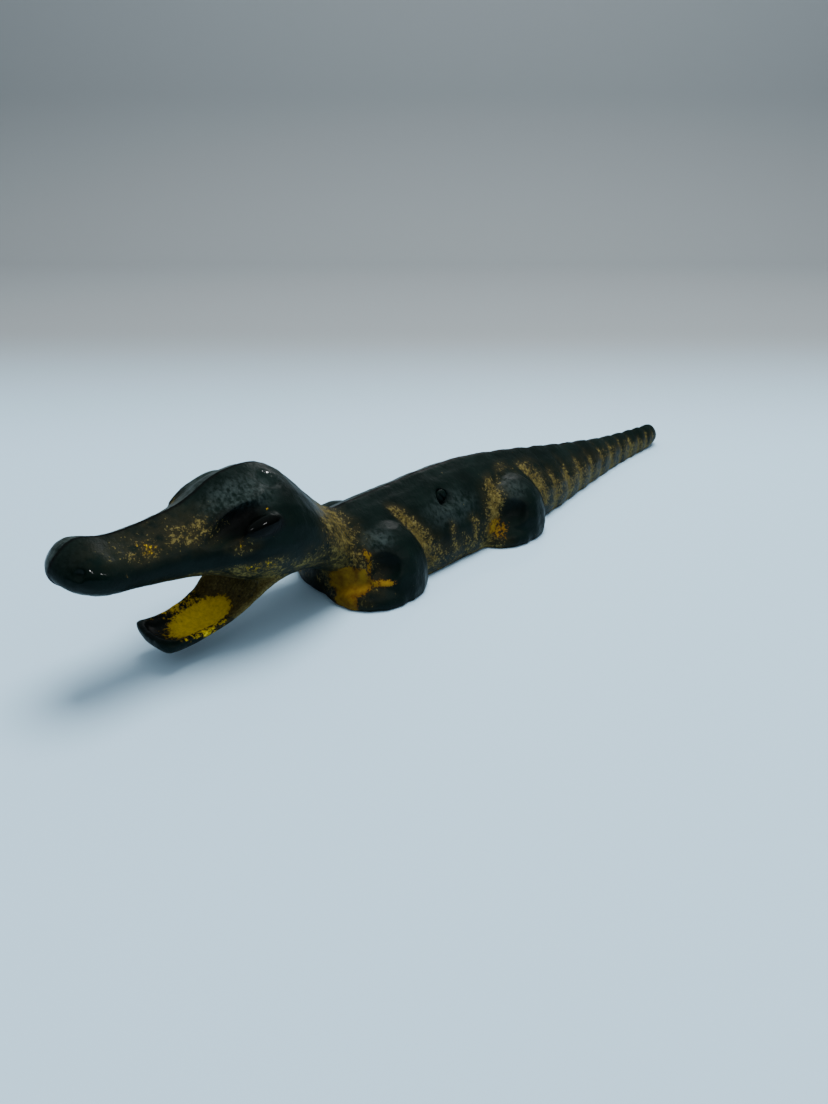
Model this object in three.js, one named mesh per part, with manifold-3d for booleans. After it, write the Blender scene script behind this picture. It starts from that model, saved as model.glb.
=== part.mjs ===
// Hand-painted alligator figurine: a hollow casting in a left and a right half that meet on the
// animal's midplane, drawn together by one slotted screw through the flank and a square nut.
// Millimetres, +X to the snout, +Y to the animal's left, +Z up, the underside on z = 0.
import * as THREE from 'three';
import { mergeVertices } from 'three/addons/utils/BufferGeometryUtils.js';
import Module from 'manifold-3d';

const wasm = await Module();
wasm.setup();

// Overall sizes
const TAIL_LENGTH = 96;        // tail tip to the rump
const TRUNK_LENGTH = 84;       // rump to the chest
const HEAD_LENGTH = 70;        // chest to the tip of the snout
const BACK_HEIGHT = 25.6;      // ridge of the back above the table
const HEAD_HEIGHT = 44.2;      // crown above the table
const BELLY_HALF_WIDTH = 17;   // midplane to the flank
const FOOT_HALF_WIDTH = 23.5;  // midplane to the outside of a foot

// Tail
const TAIL_TIP_HEIGHT = 9;
const TAIL_TIP_HALF_WIDTH = 3.4;
const TAIL_RIBS = 11;          // scallops from the rump to the tip
const RIB_SPREAD = 1.25;       // 1 spaces them evenly, more draws them together at the tip
const TRUNK_RIBS = 6;          // fainter ones along the back
const RIB_DEPTH = 0.48;
const TRUNK_RIB_DEPTH = 0.22;

// Head
const SKULL_HALF_WIDTH = 17;
const SNOUT_HALF_WIDTH = 9.6;
const SNOUT_HEIGHT = 37;       // top of the snout at its dip
const NOSE_LIFT = 2;           // how far the nose bulb rises above the dip
const PALATE_HEIGHT = 22.6;    // underside of the upper jaw
const THROAT_HEIGHT = 12.5;    // underside of the throat
const EYE_RADIUS = 4.4;
const NOSTRIL_RADIUS = 1.5;

// Lower jaw
const JAW_SHORTFALL = 19;    // how far it stops short of the snout tip
const JAW_LIP_HEIGHT = 9.3;    // top of its front lip
const JAW_THICKNESS = 5.6;
const JAW_HALF_WIDTH = 9.2;
const TROUGH_DEPTH = 3;
const TROUGH_LIP = 1.4;        // wall left around the trough

// Legs
const FRONT_LEG_BACK = 15.5;   // chest to the middle of the front leg lobe
const REAR_LEG_AHEAD = 14;     // rump to the middle of the rear leg lobe
const FRONT_LEG_HEIGHT = 19.4;
const REAR_LEG_HEIGHT = 18.5;
const LEG_HALF_LENGTH = 13.2;
const LEG_HALF_THICKNESS = 14;
const FOOT_HEIGHT = 8;
const RIGHT_FOOT_BACK = 4;      // the right front foot stops this much shorter than the left

// Casting
const WALL = 3;
const SEAM = 0.3;              // gap between the two halves at the midplane
const PEG_RADIUS = 1.5;
const PEG_LENGTH = 3;
const PEG_CLEARANCE = 0.3;
const PEG_BOSS_RADIUS = PEG_RADIUS + PEG_CLEARANCE + 1.6;
const SEAM_FLAW_AHEAD = 50;    // rump to a gap in the seam along the back
const SEAM_FLAW_LENGTH = 7;    // stretch of the seam along the back that the metal didn't fill
const SEAM_FLAW_WIDTH = 0.8;
const SEAM_FLAW_DEPTH = 1.2;

// Screw and nut
const SCREW_AHEAD = 41.5;      // rump to the screw
const SCREW_BELOW_RIDGE = 6.6; // ridge of the back down to the screw
const SCREW_RADIUS = 1.4;
const HEAD_RADIUS = 2.2;
const HEAD_THICKNESS = 1.6;    // at the crown of its dome
const HEAD_EDGE = 0.5;         // at its rim
const SLOT_WIDTH = 0.8;
const SLOT_DEPTH = 0.7;
const SLOT_TURN = 0.7;         // radians, the slot's lean from upright
const HEAD_SINK = 0.2;         // how far the head's upper edge lies below the flank
const NUT_WIDTH = 5.6;
const NUT_THICKNESS = 2.4;
const NUT_SINK = 0.3;
const FIT = 0.3;               // clearance around the screw, its head and the nut

const AROUND = 22;             // facets around an outer form
const AROUND_INSIDE = 14;      // and around a cavity

const LENGTH = TAIL_LENGTH + TRUNK_LENGTH + HEAD_LENGTH;
const RUMP = TAIL_LENGTH;
const CHEST = TAIL_LENGTH + TRUNK_LENGTH;
const SCREW_X = RUMP + SCREW_AHEAD;
const SCREW_HEIGHT = BACK_HEIGHT - SCREW_BELOW_RIDGE;

// ---- solids -------------------------------------------------------------------------------

function solid(geometry) {
  const bare = geometry.clone();
  bare.deleteAttribute('normal');
  bare.deleteAttribute('uv');
  const merged = mergeVertices(bare, 1e-4);
  return new wasm.Manifold(new wasm.Mesh({
    numProp: 3,
    vertProperties: new Float32Array(merged.attributes.position.array),
    triVerts: new Uint32Array(merged.index.array),
  }));
}

function geometryOf(manifold) {
  const mesh = manifold.getMesh();
  const geometry = new THREE.BufferGeometry();
  geometry.setAttribute('position', new THREE.BufferAttribute(new Float32Array(mesh.vertProperties), 3));
  geometry.setIndex(new THREE.BufferAttribute(new Uint32Array(mesh.triVerts), 1));
  geometry.computeVertexNormals();
  return geometry;
}

const union = (...parts) => parts.reduce((whole, part) => whole.add(part));

// An ellipsoid at (x, y, z) with half axes (a, b, c), tipped nose-down by pitch.
function egg(x, y, z, a, b, c, pitch = 0, across = 16, up = 10) {
  const g = new THREE.SphereGeometry(1, across, up);
  g.rotateX(Math.PI / 2);
  g.scale(a, b, c);
  g.rotateY(pitch);
  g.translate(x, y, z);
  return solid(g);
}

// A round bar along Y from y0 to y1.
function bar(x, z, radius, y0, y1, sides = 20) {
  const g = new THREE.CylinderGeometry(radius, radius, Math.abs(y1 - y0), sides);
  g.translate(x, (y0 + y1) / 2, z);
  return solid(g);
}

function block(x0, x1, y0, y1, z0, z1) {
  const g = new THREE.BoxGeometry(x1 - x0, y1 - y0, z1 - z0);
  g.translate((x0 + x1) / 2, (y0 + y1) / 2, (z0 + z1) / 2);
  return solid(g);
}

// A smooth line through (x, value) points, read at any x between its ends.
function line(...points) {
  const sorted = points.map(([x, v]) => new THREE.Vector2(x, v));
  return (x) => {
    let i = 0;
    while (i < sorted.length - 2 && x > sorted[i + 1].x) i += 1;
    const [p0, p1, p2, p3] = [i - 1, i, i + 1, i + 2].map((k) => (
      sorted[Math.min(Math.max(k, 0), sorted.length - 1)]));
    const span = p2.x - p1.x;
    const t = Math.min(Math.max((x - p1.x) / span, 0), 1);
    const slopeIn = p1 === p0 ? p2.y - p1.y : ((p2.y - p0.y) / (p2.x - p0.x)) * span;
    const slopeOut = p3 === p2 ? p2.y - p1.y : ((p3.y - p1.y) / (p3.x - p1.x)) * span;
    const t2 = t * t;
    const t3 = t2 * t;
    return (2 * t3 - 3 * t2 + 1) * p1.y + (t3 - 2 * t2 + t) * slopeIn
      + (3 * t2 - 2 * t3) * p2.y + (t3 - t2) * slopeOut;
  };
}

// How full a rounded end is at distance d from it, for an end r long.
const roundEnd = (d, r) => Math.sqrt(Math.max(0, 1 - (1 - Math.min(1, Math.max(0, d / r))) ** 2));

// n steps from a towards b, and the same crowded together at a (or at b) to follow a rounded end.
const steps = (a, b, n) => Array.from({ length: n }, (_, i) => a + ((b - a) * i) / n);
const roundingOff = (a, b, n) => Array.from({ length: n }, (_, i) => (
  b + (a - b) * Math.cos((Math.PI * i) / (2 * n))));
const roundingOut = (a, b, n) => Array.from({ length: n }, (_, i) => (
  a + (b - a) * Math.sin((Math.PI * i) / (2 * n))));

// A closed form lofted along X through the stations of form.xs: at each x an arch of half width
// form.half(x) between form.bottom(x) and form.top(x), widest at form.waist(x). form.ridge(x)
// above 1 draws the arch to a ridge at the midplane, and form.keel below 1 fills out its lower
// corners. The ends close over form.tailRound and form.noseRound. inset shrinks the form all
// over, as the inside of a wall does.
function loft(form, around, inset = 0) {
  const rows = form.xs.length - 1;
  const from = form.xs[0] + inset;
  const to = form.xs[rows] - inset;
  const g = new THREE.SphereGeometry(1, around, rows);
  g.rotateZ(-Math.PI / 2);
  const at = g.attributes.position;
  for (let i = 0; i < at.count; i += 1) {
    const [px, py, pz] = [at.getX(i), at.getY(i), at.getZ(i)];
    const row = Math.round((rows * Math.acos(THREE.MathUtils.clamp(-px, -1, 1))) / Math.PI);
    const x = THREE.MathUtils.mapLinear(form.xs[row], form.xs[0], form.xs[rows], from, to);
    const full = roundEnd(x - from, form.tailRound) * roundEnd(to - x, form.noseRound);
    const angle = Math.hypot(py, pz) < 1e-6 ? 0 : Math.atan2(py, pz);
    const waist = form.waist(x);
    const side = Math.sin(angle);
    const rise = Math.cos(angle);
    const power = rise > 0 ? form.ridge(x) : form.keel;
    const half = Math.max(0.2, form.half(x) - inset);
    const up = Math.max(0.2, form.top(x) - inset - waist);
    const down = Math.max(0.2, waist - form.bottom(x) - inset);
    const y = half * Math.sign(side) * Math.abs(side) ** power * full;
    const z = waist + (rise > 0 ? up : down) * rise * full;
    at.setXYZ(i, x, y, z);
  }
  return solid(g);
}

const below = -40;              // lower than anything, for cuts at the table

// ---- the animal's outer form --------------------------------------------------------------

// The ribs lie closer together towards the tip of the tail. ribPlace(k) is where groove k lies,
// counted from the tip, and the trunk's fainter ribs carry on at even spacing.
const RIB_START = 7;
const ribPlace = (k) => RIB_START + (RUMP - RIB_START) * (k / TAIL_RIBS) ** RIB_SPREAD;
const TRUNK_RIB_END = CHEST - 24;

// How far the surface lies below the crest of a rib at x.
function ribDip(x) {
  if (x <= RIB_START || x >= TRUNK_RIB_END) return 0;
  const tail = x < RUMP;
  const phase = tail
    ? TAIL_RIBS * ((x - RIB_START) / (RUMP - RIB_START)) ** (1 / RIB_SPREAD)
    : (TRUNK_RIBS * (x - RUMP)) / (TRUNK_RIB_END - RUMP);
  const depth = tail ? RIB_DEPTH : TRUNK_RIB_DEPTH;
  return depth * (1 - Math.abs(Math.sin(Math.PI * phase)) ** 0.6);
}

const trunkTop = line(
  [0, TAIL_TIP_HEIGHT], [RUMP * 0.4, TAIL_TIP_HEIGHT + 3], [RUMP * 0.7, TAIL_TIP_HEIGHT + 7.4],
  [RUMP, BACK_HEIGHT - 4.2], [RUMP + 20, BACK_HEIGHT - 1], [RUMP + 38, BACK_HEIGHT],
  [CHEST - 26, BACK_HEIGHT - 1], [CHEST - 12, BACK_HEIGHT - 1.5], [CHEST, BACK_HEIGHT - 3],
);
const trunkHalf = line(
  [0, TAIL_TIP_HALF_WIDTH], [RUMP * 0.34, 5.4], [RUMP * 0.7, 11], [RUMP * 0.9, 14.6],
  [RUMP + 10, BELLY_HALF_WIDTH - 0.6], [RUMP + 35, BELLY_HALF_WIDTH], [CHEST - 24, BELLY_HALF_WIDTH],
  [CHEST, BELLY_HALF_WIDTH - 2],
);

const trunk = {
  xs: [
    ...roundingOff(0, RIB_START, 5),
    ...Array.from({ length: TAIL_RIBS * 3 }, (_, i) => ribPlace(i / 3)),
    ...steps(RUMP, TRUNK_RIB_END, TRUNK_RIBS * 2),
    ...steps(TRUNK_RIB_END, CHEST - 7, 4), ...roundingOut(CHEST - 7, CHEST, 4), CHEST,
  ],
  top: (x) => trunkTop(x) - ribDip(x),
  half: (x) => trunkHalf(x) - ribDip(x),
  bottom: line([0, 1.2], [12, -1], [30, -5], [CHEST, -5]),
  waist: (x) => Math.min(5, trunkTop(x) * 0.4),
  ridge: (x) => (x < RUMP ? 1.65 : 1.5),
  keel: 0.6,
  tailRound: 6,
  noseRound: 7,
};

const headTop = line(
  [CHEST - 14, BACK_HEIGHT - 4], [CHEST - 5, BACK_HEIGHT - 0.8], [CHEST + 1, BACK_HEIGHT + 4.5],
  [CHEST + 8, HEAD_HEIGHT - 6], [CHEST + 14, HEAD_HEIGHT - 1.4], [CHEST + 20, HEAD_HEIGHT],
  [CHEST + 26, HEAD_HEIGHT - 0.4], [CHEST + 31, HEAD_HEIGHT - 2], [CHEST + 36, HEAD_HEIGHT - 4.7],
  [LENGTH - 26, SNOUT_HEIGHT + 0.9], [LENGTH - 17, SNOUT_HEIGHT], [LENGTH - 12, SNOUT_HEIGHT + 0.4],
  [LENGTH - 7, SNOUT_HEIGHT + NOSE_LIFT - 0.2], [LENGTH, SNOUT_HEIGHT + 0.6],
);
const headBottom = line(
  [CHEST - 14, 3], [CHEST - 6, 4], [CHEST, THROAT_HEIGHT - 4], [CHEST + 8, THROAT_HEIGHT],
  [CHEST + 20, THROAT_HEIGHT + 2], [LENGTH - 43, PALATE_HEIGHT - 6], [LENGTH - 36, PALATE_HEIGHT - 2.4],
  [LENGTH - 26, PALATE_HEIGHT], [LENGTH - 8, PALATE_HEIGHT + 2.8], [LENGTH, PALATE_HEIGHT + 5],
);
const headHalf = line(
  [CHEST - 14, 8], [CHEST - 4, SKULL_HALF_WIDTH - 5], [CHEST + 5, SKULL_HALF_WIDTH - 2.2],
  [CHEST + 16, SKULL_HALF_WIDTH], [CHEST + 25, SKULL_HALF_WIDTH - 0.6],
  [CHEST + 33, SNOUT_HALF_WIDTH + 4.4], [LENGTH - 28, SNOUT_HALF_WIDTH + 1.2],
  [LENGTH - 17, SNOUT_HALF_WIDTH], [LENGTH - 7, SNOUT_HALF_WIDTH + 1], [LENGTH, SNOUT_HALF_WIDTH],
);

const head = {
  xs: [...steps(CHEST - 14, LENGTH - 9, 22), ...roundingOut(LENGTH - 9, LENGTH, 7), LENGTH],
  top: headTop,
  half: headHalf,
  bottom: headBottom,
  waist: (x) => headBottom(x) + (headTop(x) - headBottom(x)) * 0.45,
  ridge: line([CHEST - 14, 1.4], [CHEST + 16, 1.5], [CHEST + 30, 1.6], [LENGTH - 28, 1.85],
    [LENGTH - 15, 1.6], [LENGTH - 6, 1.1]),
  keel: 0.85,
  tailRound: 6,
  noseRound: 9,
};

// The lower jaw runs forward nearly level, its rim curling up at the corner of the mouth.
const JAW_TIP = LENGTH - JAW_SHORTFALL;
const jawTop = line(
  [CHEST + 8, JAW_LIP_HEIGHT + 11], [CHEST + 22, JAW_LIP_HEIGHT + 9], [CHEST + 31, JAW_LIP_HEIGHT + 2.2],
  [JAW_TIP - 10, JAW_LIP_HEIGHT - 0.4], [JAW_TIP, JAW_LIP_HEIGHT],
);
const jawBottom = line(
  [CHEST + 8, THROAT_HEIGHT], [CHEST + 20, THROAT_HEIGHT + 1], [JAW_TIP - 16, JAW_LIP_HEIGHT - 3.2],
  [JAW_TIP - 6, JAW_LIP_HEIGHT - JAW_THICKNESS], [JAW_TIP, JAW_LIP_HEIGHT - JAW_THICKNESS + 1.5],
);
const jawHalf = line(
  [CHEST + 8, JAW_HALF_WIDTH + 3], [CHEST + 24, JAW_HALF_WIDTH + 3.2], [CHEST + 32, JAW_HALF_WIDTH + 0.8],
  [JAW_TIP - 8, JAW_HALF_WIDTH - 1], [JAW_TIP, JAW_HALF_WIDTH],
);
const jaw = {
  xs: [...steps(CHEST + 8, JAW_TIP - 2.6, 10), ...roundingOut(JAW_TIP - 2.6, JAW_TIP, 4), JAW_TIP],
  top: jawTop,
  half: jawHalf,
  bottom: jawBottom,
  waist: (x) => jawTop(x) - 1,
  ridge: () => 0.4,
  keel: 0.8,
  tailRound: 4,
  noseRound: 2.6,
};

// The trough down the middle of the lower jaw, open at the top.
const TROUGH_TIP = JAW_TIP - TROUGH_LIP;
const trough = {
  xs: [...steps(CHEST + 20, TROUGH_TIP - 3, 8), ...roundingOut(TROUGH_TIP - 3, TROUGH_TIP, 4), TROUGH_TIP],
  top: (x) => jawTop(x) + 6,
  half: (x) => jawHalf(x) - TROUGH_LIP,
  bottom: (x) => jawTop(x) - TROUGH_DEPTH,
  waist: (x) => jawTop(x) + 0.5,
  ridge: () => 0.6,
  keel: 0.7,
  tailRound: 6,
  noseRound: 3,
};

// One leg in relief on the flank: a rounded lobe with a low knee at its upper front, a hollow under
// the knee and the foot reaching forward along the table. side is 1 for the left, -1 for the right,
// and the foot stops short by back.
function leg(middle, height, side, back = 0) {
  const y = side * (FOOT_HALF_WIDTH - LEG_HALF_THICKNESS);
  const outer = side * FOOT_HALF_WIDTH;
  const lobe = egg(middle - 1.5, y, 3, LEG_HALF_LENGTH, LEG_HALF_THICKNESS, height - 3, -0.1);
  const knee = egg(middle + 1, outer - side * 13, height * 0.54, 11.4, 8.8, height * 0.42, 0.1);
  const foot = egg(middle + 3 - back, y, 1.5, LEG_HALF_LENGTH, LEG_HALF_THICKNESS, FOOT_HEIGHT - 1.5);
  const hollow = egg(middle + 8.4, outer - side * 2.2, height * 0.62, 7.4, 6, height * 0.3, 0.15);
  return union(lobe, knee).subtract(hollow).add(foot);
}

// On each side a brow runs forward down the muzzle over a long hollow, the eye bulges at the rear
// end of the hollow, and a nostril is a dent in the nose bulb.
const EYE_X = CHEST + 24.5;
const EYE_Y = SKULL_HALF_WIDTH - 2.2;
const EYE_Z = HEAD_HEIGHT - 10.4;
function face(skull) {
  let form = skull;
  for (const side of [1, -1]) {
    const brow = egg(EYE_X + 3.4, side * (SKULL_HALF_WIDTH - 8.2), EYE_Z + 3, 9, 4, 2.8, 0.32);
    const socket = egg(EYE_X + 7.4, side * (SKULL_HALF_WIDTH - 3), EYE_Z + 1.6, 10, 4.8, 3.2, 0.42);
    const eye = egg(EYE_X, side * EYE_Y, EYE_Z, EYE_RADIUS * 1.25, EYE_RADIUS * 0.5, EYE_RADIUS * 0.6, 0.1);
    const nostril = egg(LENGTH - 3, side * (SNOUT_HALF_WIDTH - 2), SNOUT_HEIGHT - 3,
      NOSTRIL_RADIUS * 1.3, NOSTRIL_RADIUS, NOSTRIL_RADIUS, 0, 10, 8);
    form = form.add(brow).subtract(socket).add(eye).subtract(nostril);
  }
  return form;
}

function outerForm() {
  const lower = loft(jaw, AROUND).subtract(loft(trough, AROUND));
  const body = union(loft(trunk, AROUND), face(loft(head, AROUND)), lower);
  const legs = [1, -1].flatMap((side) => [
    leg(CHEST - FRONT_LEG_BACK, FRONT_LEG_HEIGHT, side, side < 0 ? RIGHT_FOOT_BACK : 0),
    leg(RUMP + REAR_LEG_AHEAD, REAR_LEG_HEIGHT, side),
  ]);
  return union(body, ...legs).subtract(block(-20, LENGTH + 20, -60, 60, below, 0));
}

// ---- the inside ---------------------------------------------------------------------------

// The cavity: the trunk and the skull drawn in by the wall, ending short of the tail and the snout.
function hollowForm() {
  const inside = {
    ...trunk,
    xs: [...roundingOff(10, 24, 4), ...steps(24, CHEST - 6, 10), CHEST - 6, CHEST],
    top: trunkTop,
    half: trunkHalf,
    bottom: () => 0,
    tailRound: 12,
  };
  const skull = {
    ...head,
    xs: [...steps(CHEST - 14, LENGTH - 34, 10), ...roundingOut(LENGTH - 34, LENGTH - 24, 4), LENGTH - 24],
  };
  return union(loft(inside, AROUND_INSIDE, WALL), loft(skull, AROUND_INSIDE, WALL));
}

const PEGS = [
  { x: RUMP - 6, z: 8 },
  { x: CHEST + 21, z: HEAD_HEIGHT - 13 },
];

// The flank of the trunk: how far it lies from the midplane at (x, z).
function flank(x, z) {
  const waist = trunk.waist(x);
  const rise = Math.min(1, (z - waist) / (trunkTop(x) - waist));
  return trunkHalf(x) * Math.sqrt(1 - rise * rise) ** trunk.ridge(x);
}

const SCREW_SEAT = flank(SCREW_X, SCREW_HEIGHT + HEAD_RADIUS) - HEAD_SINK - HEAD_EDGE;
const NUT_SEAT = flank(SCREW_X, SCREW_HEIGHT + NUT_WIDTH / 2) - NUT_SINK - NUT_THICKNESS;

// One half of the casting. side is 1 for the left, -1 for the right: the left half takes the
// screw's head and carries the pegs, the right half takes the nut and has the sockets.
function half(whole, hollow, side) {
  const reach = FOOT_HALF_WIDTH * 2;
  const keep = side > 0
    ? block(-20, LENGTH + 20, SEAM / 2, reach, below, HEAD_HEIGHT * 2)
    : block(-20, LENGTH + 20, -reach, -SEAM / 2, below, HEAD_HEIGHT * 2);
  const face = side * SEAM / 2;
  const screwBoss = bar(SCREW_X, SCREW_HEIGHT, HEAD_RADIUS + 2.2, side * reach, face, 20);
  const pegBosses = PEGS.map(({ x, z }) => bar(x, z, PEG_BOSS_RADIUS, side * reach, face, 16));
  const flawX = RUMP + SEAM_FLAW_AHEAD;
  const flaw = block(flawX, flawX + SEAM_FLAW_LENGTH, -SEAM_FLAW_WIDTH / 2, SEAM_FLAW_WIDTH / 2,
    trunkTop(flawX) - SEAM_FLAW_DEPTH, BACK_HEIGHT + 5);
  const cast = whole.subtract(hollow.subtract(union(screwBoss, ...pegBosses)));
  let form = cast.intersect(keep).subtract(flaw);
  form = form.subtract(bar(SCREW_X, SCREW_HEIGHT, SCREW_RADIUS + FIT, 0, side * reach, 16));
  if (side > 0) {
    form = form.subtract(bar(SCREW_X, SCREW_HEIGHT, HEAD_RADIUS + FIT, SCREW_SEAT - FIT, reach, 24));
    for (const { x, z } of PEGS) form = form.add(bar(x, z, PEG_RADIUS, face + 1, -PEG_LENGTH, 12));
    return form;
  }
  const pocket = NUT_WIDTH / 2 + FIT;
  form = form.subtract(block(SCREW_X - pocket, SCREW_X + pocket, -reach, -NUT_SEAT + FIT,
    SCREW_HEIGHT - pocket, SCREW_HEIGHT + pocket));
  for (const { x, z } of PEGS) {
    form = form.subtract(bar(x, z, PEG_RADIUS + PEG_CLEARANCE, 1, -PEG_LENGTH - PEG_CLEARANCE, 12));
  }
  return form;
}

// The slotted screw, its head on the left flank and its shank through to the nut.
function screwForm() {
  const outer = SCREW_SEAT + HEAD_THICKNESS;
  const shank = bar(SCREW_X, SCREW_HEIGHT, SCREW_RADIUS, SCREW_SEAT + 0.5, -NUT_SEAT - NUT_THICKNESS + 0.4, 16);
  const dome = new THREE.LatheGeometry([
    new THREE.Vector2(0, 0), new THREE.Vector2(HEAD_RADIUS, 0), new THREE.Vector2(HEAD_RADIUS, HEAD_EDGE),
    new THREE.Vector2(HEAD_RADIUS * 0.8, HEAD_THICKNESS * 0.72),
    new THREE.Vector2(HEAD_RADIUS * 0.45, HEAD_THICKNESS * 0.95), new THREE.Vector2(0, HEAD_THICKNESS),
  ], 24);
  dome.translate(SCREW_X, SCREW_SEAT, SCREW_HEIGHT);
  const cap = solid(dome);
  const slot = new THREE.BoxGeometry(SLOT_WIDTH, SLOT_DEPTH * 2, HEAD_RADIUS * 3);
  slot.rotateY(SLOT_TURN);
  slot.translate(SCREW_X, outer, SCREW_HEIGHT);
  return union(shank, cap).subtract(solid(slot));
}

function nutForm() {
  const w = NUT_WIDTH / 2;
  const body = block(SCREW_X - w, SCREW_X + w, -NUT_SEAT - NUT_THICKNESS, -NUT_SEAT,
    SCREW_HEIGHT - w, SCREW_HEIGHT + w);
  return body.subtract(bar(SCREW_X, SCREW_HEIGHT, SCREW_RADIUS + FIT, 0, -60, 16));
}

// ---- the scene ----------------------------------------------------------------------------

const enamel = () => new THREE.MeshStandardMaterial({ color: 0x0f1f1c, roughness: 0.25, metalness: 0 });
const steel = () => new THREE.MeshStandardMaterial({ color: 0x33383a, roughness: 0.4, metalness: 0.8 });

const figurine = new THREE.Group();
figurine.position.x = -LENGTH / 2;

function place(name, form, material) {
  const mesh = new THREE.Mesh(geometryOf(form), material);
  mesh.name = name;
  figurine.add(mesh);
}

const whole = outerForm();
const hollow = hollowForm();
place('left_body_shell', half(whole, hollow, 1), enamel());
place('right_body_shell', half(whole, hollow, -1), enamel());
place('flank_screw', screwForm(), steel());
place('square_nut', nutForm(), steel());

const scene = new THREE.Group();
scene.add(figurine);

export default scene;
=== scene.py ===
import math

import bpy
import numpy as np
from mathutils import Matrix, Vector


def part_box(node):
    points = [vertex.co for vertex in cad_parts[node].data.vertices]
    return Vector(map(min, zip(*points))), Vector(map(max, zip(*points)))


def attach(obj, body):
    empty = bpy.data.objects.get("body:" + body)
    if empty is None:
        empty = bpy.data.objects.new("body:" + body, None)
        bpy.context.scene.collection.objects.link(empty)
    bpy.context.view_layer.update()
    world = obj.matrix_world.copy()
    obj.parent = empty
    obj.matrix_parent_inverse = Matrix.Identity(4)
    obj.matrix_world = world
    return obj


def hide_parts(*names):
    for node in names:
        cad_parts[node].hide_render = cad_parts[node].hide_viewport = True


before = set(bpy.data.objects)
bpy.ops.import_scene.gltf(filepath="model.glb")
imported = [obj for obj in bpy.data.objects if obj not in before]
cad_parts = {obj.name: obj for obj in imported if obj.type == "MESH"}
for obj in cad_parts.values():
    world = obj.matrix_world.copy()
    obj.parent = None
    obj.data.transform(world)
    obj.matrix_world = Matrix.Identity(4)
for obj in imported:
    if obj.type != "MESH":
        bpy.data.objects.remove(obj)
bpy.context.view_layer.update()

# ---- Camera ---------------------------------------------------------------------------------
# Held close in front of the animal's left cheek and tipped down, so the snout looms and the tail
# runs away to the back.
bpy.ops.object.select_all(action="DESELECT")
bpy.ops.object.camera_add(
    location=(0.1787, 0.1642, 0.1167),
    rotation=(math.radians(63.0), 0.0, math.radians(135.2)),
)
camera = bpy.context.object
camera.data.sensor_width = 36.0
camera.data.lens = 27.07
camera.data.clip_start = 0.005
bpy.context.scene.camera = camera

# ---- Studio ---------------------------------------------------------------------------------
# A sheet of pale blue-grey card that lies flat under the animal and curves up behind it, lit by a
# large soft light overhead.


class Signal:
    """One shader socket that Python's own operators add maths nodes to."""

    tree = None

    def __init__(self, socket):
        self.socket = socket

    @classmethod
    def node(cls, kind, settings=(), inputs=(), out=0):
        """Adds a node, sets its settings, then its sockets from numbers, colours or signals."""
        made = cls.tree.nodes.new(kind)
        for name, value in dict(settings).items():
            if name == "stops":
                for stop, (place, colour) in zip(made.color_ramp.elements, value[:2]):
                    stop.position, stop.color = place, colour
                for place, colour in value[2:]:
                    made.color_ramp.elements.new(place).color = colour
            else:
                setattr(made, name, value)
        for name, value in dict(inputs).items():
            if isinstance(value, Signal):
                cls.tree.links.new(value.socket, made.inputs[name])
            else:
                made.inputs[name].default_value = value
        return cls(made.outputs[out])

    def maths(self, operation, a, b):
        return Signal.node("ShaderNodeMath", {"operation": operation}, {0: a, 1: b})

    def __add__(self, other):
        return self.maths("ADD", self, other)

    def __radd__(self, other):
        return self.maths("ADD", other, self)

    def __sub__(self, other):
        return self.maths("SUBTRACT", self, other)

    def __rsub__(self, other):
        return self.maths("SUBTRACT", other, self)

    def __mul__(self, other):
        return self.maths("MULTIPLY", self, other)

    def __rmul__(self, other):
        return self.maths("MULTIPLY", other, self)

    def most(self, other):
        return self.maths("MAXIMUM", self, other)

    def step(self, low, high):
        """0 below low, 1 above high and smooth between them."""
        return Signal.node(
            "ShaderNodeMapRange",
            {"interpolation_type": "SMOOTHSTEP"},
            {"Value": self, "From Min": low, "From Max": high},
        )

    def blend(self, under, over):
        """The colour under where this signal is 0 and the colour over where it is 1."""
        return Signal.node(
            "ShaderNodeMix",
            {"data_type": "RGBA"},
            {0: self, 6: under, 7: over},
            out=2,
        )


def new_material(name):
    """An empty material whose nodes Signal adds to, and its surface shader."""
    material = bpy.data.materials.new(name)
    material.use_nodes = True
    Signal.tree = material.node_tree
    return material, material.node_tree.nodes["Principled BSDF"]


def noise(place, scale, detail=2.0, rough=0.5, out=0):
    return Signal.node(
        "ShaderNodeTexNoise",
        {},
        {"Vector": place, "Scale": scale, "Detail": detail, "Roughness": rough},
        out,
    )


def feed(shader, name, signal):
    Signal.tree.links.new(signal.socket, shader.inputs[name])


CARD_AWAY = Vector((-0.7046, -0.7096, 0.0))     # level direction from the camera to the animal
CARD_ACROSS = Vector((-0.7096, 0.7046, 0.0))
CARD_NEAR, CARD_BEND, CARD_FAR = -0.9, 0.60, 0.75
CARD_HEIGHT, CARD_HALF_WIDTH = 0.5, 1.6

bpy.ops.object.select_all(action="DESELECT")
bpy.ops.mesh.primitive_plane_add(size=1.0, location=(0, 0, 0))
sweep = bpy.context.object
sweep.name = "card_sweep"
corners = [
    CARD_AWAY * along + CARD_ACROSS * sideways
    for along in (CARD_NEAR, CARD_BEND)
    for sideways in (-CARD_HALF_WIDTH, CARD_HALF_WIDTH)
]
for vertex, corner in zip(sweep.data.vertices, corners):
    vertex.co = corner
FAR_CORNERS = (2, 3)
for edge in sweep.data.edges:
    edge.select = all(v in FAR_CORNERS for v in edge.vertices)
for part in (*sweep.data.vertices, *sweep.data.polygons):
    part.select = False
for v in FAR_CORNERS:
    sweep.data.vertices[v].select = True
bpy.ops.object.mode_set(mode="EDIT")
bpy.ops.mesh.select_mode(type="EDGE")
outward = CARD_AWAY * (CARD_FAR - CARD_BEND)
bpy.ops.mesh.extrude_region_move(TRANSFORM_OT_translate={"value": outward[:]})
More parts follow.
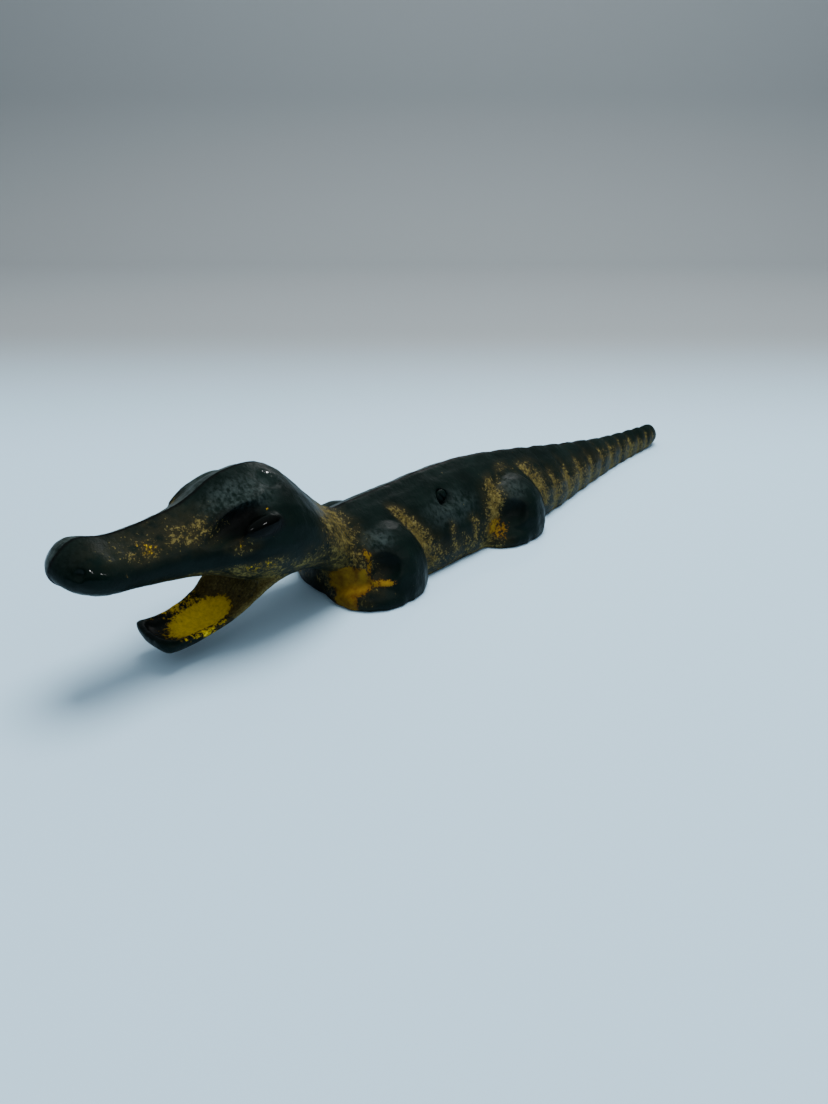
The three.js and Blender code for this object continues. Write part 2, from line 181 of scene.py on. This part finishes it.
bpy.ops.mesh.extrude_region_move(TRANSFORM_OT_translate={"value": (0.0, 0.0, CARD_HEIGHT)})
bpy.ops.object.mode_set(mode="OBJECT")
curl = sweep.modifiers.new("curl", "BEVEL")
curl.width = 0.22
curl.segments = 24
curl.limit_method = "ANGLE"
bpy.ops.object.modifier_apply(modifier="curl")
bpy.ops.object.shade_smooth()
card, card_shader = new_material("card_with_painted_shade")
spot = Signal.node("ShaderNodeTexCoord", out=3)
depth = Signal.node(
    "ShaderNodeVectorMath",
    {"operation": "DOT_PRODUCT"},
    {0: spot, 1: CARD_AWAY[:]},
    out=1,
)
# The card runs from pale blue near the camera to slate grey where it curves up behind the animal.
# The grey is painted shade on the far wall, which the overhead light reaches less.
PALE_BLUE, FAR_CARD_PAINTED_SHADE = (0.53, 0.745, 0.92, 1), (0.29, 0.31, 0.325, 1)
painted_far_shade = depth.step(0.05, 0.31)
feed(card_shader, "Base Color", painted_far_shade.blend(PALE_BLUE, FAR_CARD_PAINTED_SHADE))
card_shader.inputs["Roughness"].default_value = 0.6
card_shader.inputs["Specular IOR Level"].default_value = 0.2
sweep.data.materials.append(card)

bpy.context.scene.world = bpy.data.worlds.new("room")
bpy.context.scene.world.use_nodes = True
room = bpy.context.scene.world.node_tree.nodes["Background"]
Signal.tree = bpy.context.scene.world.node_tree
gaze = Signal.node("ShaderNodeTexCoord", out=0)
upward = Signal.node("ShaderNodeSeparateXYZ", {}, {0: gaze}, out=2)
DIM_WALLS, BRIGHT_CEILING = (0.14, 0.17, 0.19, 1), (1.55, 1.75, 1.88, 1)
feed(room, "Color", upward.step(0.05, 0.9).blend(DIM_WALLS, BRIGHT_CEILING))
room.inputs["Strength"].default_value = 0.43


def soft_light(name, place, target, size, power, colour):
    bpy.ops.object.select_all(action="DESELECT")
    bpy.ops.object.light_add(type="AREA", location=place)
    light = bpy.context.object
    light.name = name
    light.data.shape = "DISK"
    light.data.size = size
    light.data.energy = power
    light.data.color = colour
    light.rotation_euler = (Vector(target) - Vector(place)).to_track_quat("-Z", "Y").to_euler()
    return light


overhead = soft_light("overhead", (-0.16, 0.0, 0.9), (0.0, 0.0, 0.0), 0.6, 11.8, (0.95, 1.0, 1.0))
overhead.visible_glossy = False

# Three small bare lamps put a spark on the wettest paint and light nothing else.
SPARK_TARGET = (0.07, 0.0, 0.03)
for name, perch in (
    ("cheek_lamp", (-0.04, 0.416, 0.309)),
    ("snout_lamp", (0.28, 0.335, 0.373)),
    ("back_lamp", (-0.315, -0.21, 0.279)),
):
    lamp = soft_light(name, perch, SPARK_TARGET, 0.034, 0.6, (1.0, 1.0, 1.0))
    lamp.visible_diffuse = False

# ---- Casting --------------------------------------------------------------------------------
# Two hollow halves of cast metal, a left and a right, that meet down the middle of the animal. The
# joint was never filed flush, so a fine line and a slight step show along the crown and the back.
# Both are painted glossy green-black, then dry-brushed with ochre and yellow.
MM = 0.001
CAST_GRAIN = 0.5        # mm, how finely the surface is modelled
TAIL_TIP = -125         # mm, where the tail tip lies in the frame
SEAM_HALF_GAP = 0.03    # mm
SEAM_OVERLAP = 0.02     # mm, how far the two are pushed together before they are fused
SEAM_STEP = 0.45        # mm, how far the left half stands proud along the joint


def take_copy(node, name, shift=0.0):
    """A copy of a CAD solid with its doubled vertices merged, moved sideways by shift."""
    copy = bpy.data.objects.new(name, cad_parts[node].data.copy())
    bpy.context.scene.collection.objects.link(copy)
    copy.data.materials.clear()
    bpy.ops.object.select_all(action="DESELECT")
    copy.select_set(True)
    bpy.context.view_layer.objects.active = copy
    bpy.ops.object.mode_set(mode="EDIT")
    bpy.ops.mesh.select_all(action="SELECT")
    bpy.ops.mesh.remove_doubles(threshold=1e-6)
    bpy.ops.transform.translate(value=(0, shift, 0))
    bpy.ops.object.mode_set(mode="OBJECT")
    return copy


half_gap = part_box("right_body_shell")[1].y
casting = take_copy("left_body_shell", "casting", half_gap - SEAM_OVERLAP * MM)
right_copy = take_copy("right_body_shell", "right_copy", -half_gap + SEAM_OVERLAP * MM)
casting.select_set(True)
bpy.context.view_layer.objects.active = casting
bpy.ops.object.join()
casting.data.remesh_voxel_size = CAST_GRAIN * MM
casting.data.remesh_voxel_adaptivity = 0.0
bpy.ops.object.voxel_remesh()
soften = casting.modifiers.new("soften", "SMOOTH")
soften.factor = 0.5
soften.iterations = 14
bpy.ops.object.modifier_apply(modifier="soften")


def points_of(piece):
    """The piece's points in millimetres, x counted from the tail tip."""
    co = np.empty(len(piece.data.vertices) * 3, np.float32)
    piece.data.vertices.foreach_get("co", co)
    return co.reshape(-1, 3).astype(float) / MM - [TAIL_TIP, 0, 0]


def rise(value, low, high):
    """0 below low, 1 above high and smooth between them."""
    t = np.clip((value - low) / (high - low), 0, 1)
    return t * t * (3 - 2 * t)


def dab(co, centre, radii, soft=0.5):
    """1 inside the ellipsoid at centre, fading to 0 over the outer part of it."""
    away = np.sqrt((((co - np.array(centre)) / np.array(radii)) ** 2).sum(1))
    return 1 - rise(away, 1 - soft, 1 + soft)


# Thick paint rounds the rim of the screw's hole to a soft dent.
screw_low, screw_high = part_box("flank_screw")
screw_mouth = (
    (screw_low.x + screw_high.x) / 2 / MM - TAIL_TIP,
    9,
    (screw_low.z + screw_high.z) / 2 / MM,
)
rim_weight = dab(points_of(casting), screw_mouth, (5.2, 6, 5.2), 0.3)
rim_group = casting.vertex_groups.new(name="screw_rim")
for index in np.nonzero(rim_weight > 0.01)[0]:
    rim_group.add([int(index)], float(rim_weight[index]), "REPLACE")
dent = casting.modifiers.new("dent", "SMOOTH")
dent.vertex_group = "screw_rim"
dent.factor = 0.5
dent.iterations = 24
bpy.ops.object.modifier_apply(modifier="dent")

for name, scale, strength in (("swells", 0.011, 0.5), ("tool_marks", 0.0032, 0.24)):
    clouds = bpy.data.textures.new(name, "CLOUDS")
    clouds.noise_scale = scale
    clouds.noise_depth = 2
    lumps = casting.modifiers.new(name, "DISPLACE")
    lumps.texture = clouds
    lumps.texture_coords = "LOCAL"
    lumps.mid_level = 0.5
    lumps.strength = strength * MM
    bpy.ops.object.modifier_apply(modifier=name)


def split_half(name, side):
    """One half of the casting: everything on that side of the midplane, closed on the cut."""
    half = casting.copy()
    half.data = casting.data.copy()
    half.name = name
    bpy.context.scene.collection.objects.link(half)
    bpy.ops.object.select_all(action="DESELECT")
    half.select_set(True)
    bpy.context.view_layer.objects.active = half
    bpy.ops.object.mode_set(mode="EDIT")
    bpy.ops.mesh.select_all(action="SELECT")
    bpy.ops.mesh.bisect(
        plane_co=(0, side * SEAM_HALF_GAP * MM, 0), plane_no=(0, side, 0),
        use_fill=True, clear_inner=True, threshold=1e-6,
    )
    bpy.ops.object.mode_set(mode="OBJECT")
    return half


left_half = split_half("left_half", 1)
right_half = split_half("right_half", -1)
bpy.data.objects.remove(casting)

# The left half stands a little above the right along the crown and the back, and both were rubbed
# flat underneath.
for half, step_height in ((left_half, SEAM_STEP), (right_half, 0.0)):
    co = points_of(half)
    co[:, 2] += step_height * (1 - rise(co[:, 1], 0.5, 4)) * rise(co[:, 2], 12, 20)
    co[:, 2] = np.maximum(co[:, 2], 0.0)
    half.data.vertices.foreach_set("co", ((co + [TAIL_TIP, 0, 0]) * MM).astype(np.float32).ravel())
    half.data.update()

# The enamel. Each half carries a weight for every coat: ochre, yellow, and how far that is lemon
# rather than orange, the black of the eye with painted shade in the hollows, a painted grey sheen
# in brush strokes, and wet gloss.
GREEN_BLACK = (0.0012, 0.0046, 0.0034, 1)
GREEN_BLACK_THIN = (0.0030, 0.0086, 0.0068, 1)
# Grey painted sheen, a highlight laid on as colour.
GREY_PAINTED_SHEEN = (0.028, 0.039, 0.037, 1)
OCHRE_WASH = (0.033, 0.026, 0.011, 1)
# Black for the painted eye, also used as painted shade in the hollows.
EYE_BLACK_AND_SHADE = (0.0012, 0.0016, 0.0013, 1)
OCHRE_DARK = (0.026, 0.019, 0.006, 1)
OCHRE_MID = (0.075, 0.055, 0.014, 1)
OCHRE_LIGHT = (0.18, 0.142, 0.044, 1)
ORANGE_DARK = (0.10, 0.044, 0.004, 1)
ORANGE_LIGHT = (0.21, 0.12, 0.008, 1)
LEMON_DARK = (0.63, 0.40, 0.004, 1)
LEMON_LIGHT = (0.87, 0.59, 0.008, 1)
RED_BROWN = (0.034, 0.012, 0.003, 1)
BRUSH_LEAN = 0.6        # radians, the brush strokes' slant
BRUSH_STRETCH = 1.7

enamel, enamel_shader = new_material("brushed_enamel")
enamel_shader.inputs["Specular IOR Level"].default_value = 0.05
place = Signal.node("ShaderNodeTexCoord", out=3)
grain = noise(place, 1300, 4.0, 0.82)
blotch = noise(place, 330, 3.0, 0.6)
cloud = noise(place, 90, 2.0)
slanted = Signal.node(
    "ShaderNodeMapping",
    {},
    {"Vector": place, "Scale": (BRUSH_STRETCH, 1.0, 1.0), "Rotation": (0, BRUSH_LEAN, 0)},
)
strokes = noise(slanted, 700, 3.0, 0.65)


def painted(name):
    """One of the weights that the halves carry."""
    return Signal.node("ShaderNodeAttribute", {"attribute_name": name}, out=2)


ochre, chrome, soot, wet = painted("ochre"), painted("chrome"), painted("soot"), painted("wet")

# The dark ground, with its painted sheen, the thin ochre wash, and the black of the eye with
# painted shade in the hollows.
ground = cloud.step(0.3, 0.7).blend(GREEN_BLACK, GREEN_BLACK_THIN)
bristles = (strokes * 0.6 + blotch * 0.4).step(0.38, 0.62)
# Painted sheen: a grey highlight laid into the ground in brush strokes.
ground = (painted("bloom") * bristles).blend(ground, GREY_PAINTED_SHEEN)
ground = (ochre * blotch.step(0.25, 0.6)).blend(ground, OCHRE_WASH)
# The black of the eye, and painted shade in the hollows, the leg dishes and along the joint.
ground = soot.blend(ground, EYE_BLACK_AND_SHADE)

# Dry-brushed ochre, which catches in specks where the brush dragged.
scatter = (grain - 0.5) * 3.6 + (strokes - 0.5) * 1.0 + (blotch - 0.5) * 1.3 + (cloud - 0.5) * 0.6
speckle = (ochre * 1.15 + scatter - 0.86).step(0.0, 0.16)
dust = Signal.node(
    "ShaderNodeValToRGB",
    {"stops": ((0.34, OCHRE_DARK), (0.64, OCHRE_LIGHT), (0.5, OCHRE_MID))},
    {"Fac": grain * 0.7 + blotch * 0.3},
)

# Thick orange and lemon yellow, red-brown where they thin out at a ragged edge.
ragged = (blotch - 0.5) * 0.9 + (strokes - 0.5) * 0.8 + (grain - 0.5) * 1.7
chrome_depth = chrome * 1.1 + ragged - 0.5
chrome_edge = chrome_depth.step(0.0, 0.12)
orange = blotch.step(0.3, 0.7).blend(ORANGE_DARK, ORANGE_LIGHT)
lemon = strokes.step(0.3, 0.7).blend(LEMON_DARK, LEMON_LIGHT)
yellow = painted("lemon").blend(orange, lemon)
yellow = chrome_depth.step(0.02, 0.28).blend(RED_BROWN, yellow)

feed(enamel_shader, "Base Color", chrome_edge.blend(speckle.blend(ground, dust), yellow))
dry = speckle.most(chrome_edge)
satin = dry * 0.15 + soot * 0.1 + blotch * 0.2 + 0.34
feed(enamel_shader, "Roughness", satin * (1.0 - wet * 0.85))
relief = (strokes * 0.6 + blotch * 0.7 + grain * 0.3 * dry) * (1.0 - wet)
bump = Signal.node("ShaderNodeBump", {}, {"Strength": 0.4, "Distance": 0.0007, "Height": relief})
feed(enamel_shader, "Normal", bump)

RIBS = 11
RIB_GROOVES = [7 + 89 * (k / RIBS) ** 1.25 for k in range(RIBS + 1)]    # mm from the tail tip
for half, side in ((left_half, 1), (right_half, -1)):
    co = points_of(half)
    co[:, 1] = np.abs(co[:, 1])     # the paint mirrors from side to side
    x, y, z = co.T
    normals = np.empty(len(co) * 3, np.float32)
    half.data.vertex_normals.foreach_get("vector", normals)
    facing_up = normals.reshape(-1, 3)[:, 2]
    brushable = 1 - rise(-facing_up, 0.6, 0.95) * 0.9       # the underside was hardly brushed
    off_middle = rise(y, 2, 5)

    # Ochre behind each leg, a wedge that widens towards the table from a sharp front edge.
    front_edge = 150.6 + 0.016 * np.maximum(z, 0) ** 1.9
    front_wedge = np.exp(-(np.maximum(front_edge - x, 0) / (2.0 + (21 - z) * 0.34)) ** 2)
    front_wedge *= rise(front_edge + 3 - x, 0, 1.6) * rise(23 - z, 0, 3) * rise(z, 0, 5) * 1.05
    rear_edge = 92.6 + 0.022 * np.maximum(z - 2, 0) ** 2
    rear_wedge = np.exp(-(np.maximum(rear_edge - x, 0) / (2.2 + np.clip(z - 6, 0, 9) * 0.45)) ** 2)
    rear_wedge *= rise(rear_edge + 3 - x, 0, 1.6) * rise(20.5 - z, 0, 3) * rise(z, 1, 8) * 0.9

    # A broad upright band ahead of the rear leg, and two drips on the flank beyond it.
    band_line = 124.2 - (z - 4) * 0.44
    band = np.exp(-((x - band_line) / 3.6) ** 2) * rise(21.5 - z, 0, 3.5) * 1.1
    drips = np.exp(-((x - 139.6) / 1.7) ** 2) * rise(15.5 - z, 0, 4) * 0.8
    drips += np.exp(-((x - 130.2) / 2.4) ** 2) * rise(15 - z, 0, 4) * 0.75
    low_flank = rise(12 - z, 0, 8) * rise(x, 116, 124) * rise(157 - x, 0, 8) * 0.66

    # The folds of the neck, the chest between the front legs, and the muzzle.
    neck = dab(co, (179.5, 10, 22.5), (10, 12, 9), 0.4) * 0.78
    throat = dab(co, (191, 13, 19.5), (9, 8, 5), 0.5) * 0.66
    chest = dab(co, (177.5, 11, 9), (9, 11, 9), 0.4) * 0.8
    muzzle = dab(co, (220, 7.5, 34.8), (8.5, 5, 4), 0.6) * 0.6
    muzzle_tip = dab(co, (231, 6.5, 34), (4.5, 4, 3), 0.6) * 0.6 * off_middle
    snout_film = dab(co, (226, 5, 36), (16, 7, 4), 0.6) * 0.35
    under_eye = dab(co, (211, 15, 30.6), (4.5, 3, 2.2), 0.5) * 0.62
    mouth_corner = dab(co, (206.5, 14.5, 23.8), (5, 3, 2), 0.5) * 0.8

    # The mouth: ochre in the corner and on the edge of the palate.
    gape = dab(co, (206, 4, 15), (13, 11, 8), 0.3) * 1.25
    palate_edge = rise(x, 196, 204) * rise(236 - x, 0, 16) * 0.8
    palate_edge *= rise(26.6 - z, 0, 2) * rise(z, 14, 17)
    jaw_rim = dab(co, (212, 7.5, 11), (12, 4, 4), 0.4) * 0.6

    # Worn ochre low on the tail, and brighter lines in the grooves between its ribs.
    height = z / (9 + 0.13 * x)
    tail_low = rise(95 - x, 0, 8) * rise(0.85 - height, 0, 0.5) * 0.66
    grooves = sum(np.exp(-((x - groove) / (0.6 + 0.011 * groove)) ** 2) for groove in RIB_GROOVES)
    grooves *= rise(0.92 - height, 0, 0.35) * rise(96 - x, 0, 6) * 0.5

    # A thin arc over the rear knee.
    knee_arc = np.exp(-((z + 0.06 * (x - 108) ** 2 - 20.2) / 1.4) ** 2) * off_middle
    knee_arc *= rise(x, 100, 104) * rise(118 - x, 0, 4) * 0.5
    ochre_amount = brushable * np.maximum.reduce([
        front_wedge, rear_wedge, band, drips, low_flank, neck, throat, chest,
        muzzle * off_middle, muzzle_tip, snout_film, under_eye, mouth_corner,
        gape, palate_edge, jaw_rim, tail_low + grooves, knee_arc,
    ])

    # Yellow: lemon in the trough and in flecks about it, orange on the chest, over the front foot
    # and ahead of the rear foot.
    trough = dab(co, (215.8, 0, 7.6), (10.8, 6.4, 4.2), 0.4) * rise(facing_up, 0, 0.3)
    rim_flecks = dab(co, (218.5, 7.2, 9), (9, 2.6, 2.8), 0.5) * 0.52
    apron = dab(co, (176.5, 11.5, 7), (6.5, 6.5, 4.6), 0.35)
    stalk = dab(co, (179.5, 13, 1.5), (3.2, 4, 4.5), 0.35)
    strap = dab(co, (172.8, 14.5, 12.5), (1.1, 3.5, 5.5), 0.7) * 0.62
    tongue = dab(co, (172.5, 20, 7), (4.6, 4.5, 1.1), 0.6) * 0.72
    knot = dab(co, (121.3, 17.5, 6.6), (4.2, 4.5, 3.6), 0.6) * 0.62
    snout_fleck = dab(co, (230.6, 6.5, 34.2), (3.6, 3, 2.4), 0.7) * 0.4
    lid_fleck = dab(co, (202, 14, 36.9), (0.5, 2, 0.45), 0.3) * 0.7
    cheek_fleck = dab(co, (211.1, 14.1, 31.3), (2, 2, 1.3), 0.6) * 0.42
    flecks = np.maximum.reduce([snout_fleck, lid_fleck, cheek_fleck])
    chrome_amount = brushable * np.maximum.reduce([
        trough, rim_flecks, apron, stalk, strap, tongue, knot, flecks, mouth_corner * 0.55,
    ])
    lemon_amount = np.clip(trough + flecks * 1.3 + mouth_corner + rim_flecks * 2, 0, 1)

    # Black paint on the eye, and painted shade in the hollow before the eye, in the dish of each
    # leg and in the gap along the joint.
    socket = dab(co, (212, 13, 35.6), (10, 6, 3.6), 0.35) * (1 - muzzle)
    eye = dab(co, (204.3, 16, 34), (5.6, 3.5, 2.6), 0.25)
    front_dish = dab(co, (171, 20, 12), (5, 4.5, 4), 0.5) * 0.64
    rear_dish = dab(co, (116.5, 20, 11), (5, 4.5, 4), 0.5) * 0.64
    joint_line = rise(0.9 - y, 0, 0.3) * rise(z, 12, 16)
    eye_black_and_shade_amount = np.maximum.reduce([socket, eye, front_dish + rear_dish, joint_line])

    # Painted sheen: a grey highlight in brush strokes on the brow, the knees and the flank, and,
    # on the right half only, a painted reflection all along the ridge.
    brow = dab(co, (209, 9, 41), (11, 6, 5), 0.5)
    front_knee = dab(co, (169, 15, 18.5), (5, 5, 3), 0.5)
    rear_knee = dab(co, (112, 15, 16), (5, 5, 3), 0.5) * 0.6
    flank = dab(co, (137, 11, 16), (10, 5, 5), 0.5) * 0.7
    ridge = rise(9 - y, 0, 3) * rise(z, 21, 24) * (1.3 if side < 0 else 0.1)
    painted_sheen_amount = np.maximum.reduce([brow, front_knee, rear_knee, flank, ridge])

    # Wet gloss on the eye, the nostril and one spot of the crown.
    wet_eye = dab(co, (205, 16, 34.6), (4, 4, 2.2), 0.3)
    wet_nostril = dab(co, (245, 7.5, 33), (5, 4, 4), 0.3)
    wet_crown = dab(co, (196, 7, 42.5), (4, 4, 3), 0.3)
    wet_amount = np.maximum.reduce([wet_eye, wet_nostril, wet_crown])

    for name, amount in (
        ("ochre", ochre_amount),
        ("chrome", chrome_amount),
        ("lemon", lemon_amount),
        ("soot", eye_black_and_shade_amount),
        ("bloom", painted_sheen_amount),
        ("wet", wet_amount),
    ):
        layer = half.data.attributes.new(name, "FLOAT", "POINT")
        layer.data.foreach_set("value", amount.astype(np.float32))
    half.data.materials.append(enamel)
    bpy.ops.object.select_all(action="DESELECT")
    half.select_set(True)
    bpy.context.view_layer.objects.active = half
    bpy.ops.object.shade_smooth_by_angle(angle=math.radians(50))
    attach(half, "root")
    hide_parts("left_body_shell" if side > 0 else "right_body_shell")

# ---- Screw and nut --------------------------------------------------------------------------
# A small slotted screw through the left flank and the square nut it draws up to on the right, both
# brushed over with the same enamel, so only their rims and the slot stay crisp.
for node, name, rim in (
    ("flank_screw", "slotted_screw", 0.16),
    ("square_nut", "square_steel_nut", 0.3),
):
    fastener = take_copy(node, name)
    bevel = fastener.modifiers.new("worn_rim", "BEVEL")
    bevel.width = rim * MM
    bevel.segments = 3
    bevel.limit_method = "ANGLE"
    bevel.angle_limit = math.radians(40)
    bpy.ops.object.modifier_apply(modifier="worn_rim")
    bpy.ops.object.shade_smooth_by_angle(angle=math.radians(40))
    fastener.data.materials.append(enamel)
    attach(fastener, "root")
    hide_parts(node)
